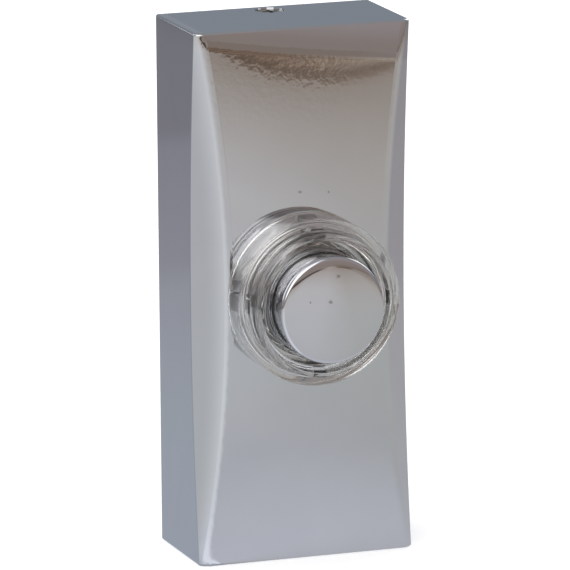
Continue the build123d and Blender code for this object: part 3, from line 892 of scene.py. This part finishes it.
def floor_finish():
    """Pale floor, matt, lit enough to fade into the white behind it."""
    material, _, shader, _ = new_finish("pale_floor")
    feed(shader, {
        "Base Color": linear("#f4f4f4"), "Roughness": 0.9,
        "Emission Color": linear("#ffffff"), "Emission Strength": 0.45})
    return material


def bench_finish(azimuth):
    """What the plate mirrors: a grey bench, browner beyond half a metre in front, dimmer behind."""
    material, tree, shader, place = new_finish("mirrored_bench")
    tree.nodes.remove(shader)
    flat = add_node(tree, "VectorMath", {0: place, 1: (1, 1, 0)}, operation="MULTIPLY")
    reach = add_node(tree, "VectorMath", {0: flat}, "Value", operation="LENGTH")
    # Headings are taken from the foot of the cover's left edge
    from_edge = add_node(
        tree, "VectorMath", {0: flat, 1: (-13 * MM, -19 * MM, 0)}, operation="SUBTRACT")
    heading = add_node(tree, "VectorMath", {0: from_edge}, operation="NORMALIZE")
    ways = add_node(tree, "SeparateXYZ", {0: heading}).node.outputs
    # Soft steps: what each one follows, where it starts and where it is full
    clutter_near, clutter_far, behind, far, near, lit_left, lit_right, lit_front = [
        add_node(tree, "MapRange", {"Value": value, "From Min": start, "From Max": full}, **SMOOTH)
        for value, start, full in (
            (reach, 0.655, 0.675), (reach, 1.15, 0.95), (ways["Y"], -0.5, 0.6),
            (reach, 0.12, 0.40), (reach, 0.09, 0.03), (ways["X"], -0.95, -0.70),
            (ways["X"], 0.1, -0.45), (ways["Y"], 0.0, -0.4))]
    # Tones by the distance from the push
    longest = 1.25
    share = add_node(tree, "Math", {0: reach, 1: longest}, operation="DIVIDE")
    front = add_node(tree, "ValToRGB", {0: share})
    set_stops(front, [(distance / longest, tone) for distance, tone in (
        (0.01, "#eaedf6"), (0.045, "#e1e4eb"), (0.075, "#d6d9df"), (0.11, "#d8dbdd"),
        (0.15, "#dadee0"), (0.24, "#e0e1e3"), (0.34, "#e0dfde"), (0.51, "#d1cbc6"),
        (0.60, "#c5bcb5"), (0.655, "#c2b7af"), (1.15, "#a79a93"))])
    back = add_node(tree, "ValToRGB", {0: share})
    set_stops(back, [(distance / longest, tone) for distance, tone in (
        (0.01, "#bac2ce"), (0.10, "#b8bfc8"), (0.18, "#b2b4bd"), (0.205, "#a7a8b1"),
        (0.30, "#9d9da6"), (0.315, "#92919a"), (1.20, "#7e7e86"))])
    # Its far end is cluttered: dark at the left, then pale, brown, and pale again at the right
    cluttered = add_node(tree, "Math", {0: clutter_near, 1: clutter_far}, operation="MULTIPLY")
    from_left = add_node(tree, "MapRange", {"Value": ways["X"], "From Min": 0.22, "From Max": 0.46})
    brown = add_node(tree, "ValToRGB", {0: from_left})
    set_stops(brown, [
        (0.25, "#55483f"), (0.44, "#cbc0b3"), (0.525, "#cbc0b3"), (0.5625, "#a28f80"),
        (0.59, "#958071"), (0.775, "#897365"), (0.875, "#bcb5b1")])
    stripes_per_metre = 18.0
    stripes = add_node(tree, "TexNoise", {
        "W": reach, "Scale": stripes_per_metre, "Detail": 2.0}, noise_dimensions="1D")
    clutter = add_node(tree, "MapRange", {
        "Value": stripes, "From Min": 0.3, "From Max": 0.7, "To Min": 0.55, "To Max": 1.6})
    jumble = add_node(tree, "Mix", {0: cluttered, VALUE_A: 1.0, VALUE_B: clutter})
    facing = add_node(tree, "Mix", {0: cluttered, COLOUR_A: front, COLOUR_B: brown}, **BLEND)
    tone = add_node(tree, "Mix", {0: behind, COLOUR_A: facing, COLOUR_B: back}, **BLEND)
    # It falls off across the way that the front mirrors, more so farther off
    lateral = add_node(tree, "VectorMath", {
        0: from_edge, 1: (math.cos(azimuth), math.sin(azimuth), 0)}, "Value",
        operation="DOT_PRODUCT")
    falling = add_node(tree, "MapRange", {"Value": lateral, "From Min": 0.0, "From Max": 24 * MM})
    dim = add_node(tree, "Mix", {
        0: far, COLOUR_A: linear("#f6f5f0"), COLOUR_B: linear("#f0ece6")}, **BLEND)
    sloping = add_node(tree, "Mix", {
        0: falling, COLOUR_A: linear("#fffefe", 1.04), COLOUR_B: dim}, **BLEND)
    fall = add_node(tree, "Mix", {0: near, COLOUR_A: sloping, COLOUR_B: linear("#fcfcfc")}, **BLEND)
    right = add_node(tree, "Mix", {
        0: behind, COLOUR_A: fall, COLOUR_B: linear("#fff8f1", 1.20)}, **BLEND)
    to_right = add_node(tree, "MapRange", {"Value": ways["X"], "From Min": -0.1, "From Max": 0.1})
    side = add_node(tree, "Mix", {
        0: to_right, COLOUR_A: linear("#ffffff"), COLOUR_B: right}, **BLEND)
    tinted = add_node(tree, "Mix", {
        0: 1.0, COLOUR_A: tone, COLOUR_B: side}, **BLEND, blend_type="MULTIPLY")
    # Brighter stretch in front, to the left, that runs along the bevel's drawn edge
    stretch = add_node(tree, "Math", {0: lit_left, 1: lit_right}, operation="MULTIPLY")
    lit = add_node(tree, "Math", {0: stretch, 1: lit_front}, operation="MULTIPLY")
    gain = add_node(tree, "MapRange", {
        "Value": reach, "From Min": 0.05, "From Max": 0.32, "To Min": 0.54, "To Max": 0.22})
    brighter = add_node(tree, "Math", {0: lit, 1: gain, 2: 1.0}, operation="MULTIPLY_ADD")
    strength = add_node(tree, "Math", {0: brighter, 1: jumble}, operation="MULTIPLY")
    glow = add_node(tree, "Emission", {"Color": tinted, "Strength": strength})
    feed(tree.nodes["Material Output"], {"Surface": glow})
    return material


def light_room(scene):
    """A white room to the camera, a soft grey one to the plate."""
    world = bpy.data.worlds.new("studio")
    scene.world = world
    world.use_nodes = True
    tree = world.node_tree
    direction = add_node(tree, "TexCoord", output="Generated")
    axes = add_node(tree, "SeparateXYZ", {0: direction}).node.outputs
    ahead = add_node(tree, "Math", {0: axes["Y"], 1: -1.0}, operation="MULTIPLY")
    turn = add_node(tree, "Math", {0: axes["X"], 1: ahead}, operation="ARCTAN2")
    climb = add_node(tree, "Math", {0: axes["Z"]}, operation="ARCSINE")
    raised = add_node(tree, "MapRange", {"Value": axes["Z"], "From Min": -0.2, "From Max": 1.0})
    tones = add_node(tree, "ValToRGB", {0: raised})
    set_stops(tones, [
        (0.0, "#9e9ea4"), (0.17, "#9599a2"), (0.34, "#8d96a0"), (0.7, "#a2a4a8"),
        (1.0, "#adadad")])
    # Soft-edged stretches of the room, in degrees: turn to the right, climb, half width, half
    # height and edge; then tone and strength
    for to_right, up, half_width, half_height, edge, tone, strength in (
            (-80, 16, 32, 24, 10, "#aaaaac", 1.0),
            (36, 16, 34, 26, 8, "#b3a8a7", 1.0),
            (20, 0, 45, 7, 6, "#a79a93", 1.0),
            (-45, 56, 60, 12, 8, "#fbfcff", 1.30),
            (-20.5, 25, 26.5, 20.5, 4, "#ffffff", 2.2)):
        inside = []
        for angle, middle, half in ((turn, to_right, half_width), (climb, up, half_height)):
            off = add_node(tree, "Math", {0: angle, 1: math.radians(middle)}, operation="SUBTRACT")
            away = add_node(tree, "Math", {0: off}, operation="ABSOLUTE")
            inside.append(add_node(tree, "MapRange", {
                "Value": away, "From Min": math.radians(half + edge),
                "From Max": math.radians(half - edge)}, **SMOOTH))
        within = add_node(tree, "Math", {0: inside[0], 1: inside[1]}, operation="MULTIPLY")
        tones = add_node(tree, "Mix", {
            0: within, COLOUR_A: tones, COLOUR_B: linear(tone, strength)}, **BLEND)
    to_camera = add_node(tree, "LightPath", output="Is Camera Ray")
    seen = add_node(tree, "Mix", {
        0: to_camera, COLOUR_A: tones, COLOUR_B: linear("#ffffff")}, **BLEND)
    feed(tree.nodes["Background"], {"Color": seen})


def hang_softboxes(scene, stage):
    """Two softboxes, high left and high right, behind the push."""
    distance = 0.80
    for name, towards, width, tall, power in (
            ("left_softbox", (-0.66, 0.56, 0.45), 0.90, 0.60, stage.left_light),
            ("right_softbox", (0.70, 0.54, 0.42), 0.42, 0.42, stage.right_light)):
        lamp = bpy.data.lights.new(name, "AREA")
        lamp.shape = "RECTANGLE"
        lamp.size = width
        lamp.size_y = tall
        lamp.energy = power
        softbox = bpy.data.objects.new(name, lamp)
        way = Vector(towards).normalized()
        softbox.location = way * distance
        softbox.rotation_mode = "QUATERNION"
        softbox.rotation_quaternion = way.to_track_quat("Z", "Y")
        softbox.visible_camera = False
        scene.collection.objects.link(softbox)


def aim_camera(scene, stage):
    """The photograph's camera: left of the front, above it, with a long lens."""
    camera_data = bpy.data.cameras.new("camera")
    camera_data.lens = stage.lens
    camera_data.sensor_width = 36.0
    camera_data.clip_end = 20.0
    camera = bpy.data.objects.new("camera", camera_data)
    level = math.cos(stage.elevation)
    back_way = Vector((
        -math.sin(stage.azimuth) * level, -math.cos(stage.azimuth) * level,
        math.sin(stage.elevation)))
    camera.location = Vector(stage.aim) + back_way * stage.distance
    camera.rotation_mode = "QUATERNION"
    camera.rotation_quaternion = (
        back_way.to_track_quat("Z", "Y") @ Quaternion((0, 0, 1), stage.roll))
    scene.collection.objects.link(camera)
    scene.camera = camera


class BELLPUSH_OT_set_stage(bpy.types.Operator):
    """Sets the pale floor, the soft light and the photograph's camera"""

    bl_idname = "bellpush.set_stage"
    bl_label = "Set Stage"

    def execute(self, context):
        scene = context.scene
        stage = scene.bellpush_stage
        floor_height = CAD_BOX[0].z - stage.floor_gap
        sheets = []
        for name, height, material in (
                ("floor", floor_height, floor_finish()),
                ("mirrored_bench", floor_height - stage.bench_gap, bench_finish(stage.azimuth))):
            builder = bmesh.new()
            bmesh.ops.create_grid(
                builder, x_segments=1, y_segments=1, size=stage.sheet / 2,
                matrix=Matrix.Translation((0, 0, height)))
            sheet = add_object(builder, name, material)
            sheets.append(sheet)
        # The plate and the clear collar show the bench, and the camera the floor
        floor, bench = sheets
        floor.visible_glossy = False
        floor.visible_transmission = False
        bench.visible_camera = False
        bench.visible_diffuse = False
        bench.visible_shadow = False
        light_room(scene)
        hang_softboxes(scene, stage)
        aim_camera(scene, stage)
        scene.view_settings.view_transform = "Standard"
        scene.view_settings.look = "None"
        # Light crosses the clear collar and its mirror image many times
        scene.cycles.max_bounces = 32
        scene.cycles.glossy_bounces = 16
        scene.cycles.transmission_bounces = 32
        return {"FINISHED"}


class BELLPUSH_PT_panel(bpy.types.Panel):
    """Lists the steps and their settings in the sidebar"""

    bl_label = "Doorbell Push"
    bl_idname = "BELLPUSH_PT_panel"
    bl_space_type = "VIEW_3D"
    bl_region_type = "UI"
    bl_category = "Doorbell Push"

    def draw(self, context):
        for operator in OPERATORS:
            self.layout.operator(operator.bl_idname)
        for name in SETTINGS:
            group = getattr(context.scene, name)
            box = self.layout.box()
            for field in group.__annotations__:
                box.prop(group, field)


OPERATORS = (
    BELLPUSH_OT_plate_cover,
    BELLPUSH_OT_clear_collar,
    BELLPUSH_OT_plate_button,
    BELLPUSH_OT_wind_spring,
    BELLPUSH_OT_form_leaf,
    BELLPUSH_OT_finish_base,
    BELLPUSH_OT_finish_contacts,
    BELLPUSH_OT_finish_lamp,
    BELLPUSH_OT_set_stage,
)
SETTINGS = {
    "bellpush_plating": PlatingSettings,
    "bellpush_buffing": BuffingSettings,
    "bellpush_collar": CollarSettings,
    "bellpush_button": ButtonSettings,
    "bellpush_spring": SpringSettings,
    "bellpush_leaf": LeafSettings,
    "bellpush_base": BaseSettings,
    "bellpush_lamp": LampSettings,
    "bellpush_stage": StageSettings,
}


def register():
    for name, group in SETTINGS.items():
        bpy.utils.register_class(group)
        setattr(bpy.types.Scene, name, PointerProperty(type=group))
    for operator in OPERATORS:
        bpy.utils.register_class(operator)
    bpy.utils.register_class(BELLPUSH_PT_panel)


def unregister():
    bpy.utils.unregister_class(BELLPUSH_PT_panel)
    for operator in reversed(OPERATORS):
        bpy.utils.unregister_class(operator)
    for name, group in SETTINGS.items():
        delattr(bpy.types.Scene, name)
        bpy.utils.unregister_class(group)


def main():
    register()
    bpy.ops.bellpush.plate_cover()
    bpy.ops.bellpush.clear_collar()
    bpy.ops.bellpush.plate_button()
    bpy.ops.bellpush.wind_spring()
    bpy.ops.bellpush.form_leaf()
    bpy.ops.bellpush.finish_base()
    bpy.ops.bellpush.finish_contacts()
    bpy.ops.bellpush.finish_lamp()
    bpy.ops.bellpush.set_stage()


if __name__ == "__main__":
    main()
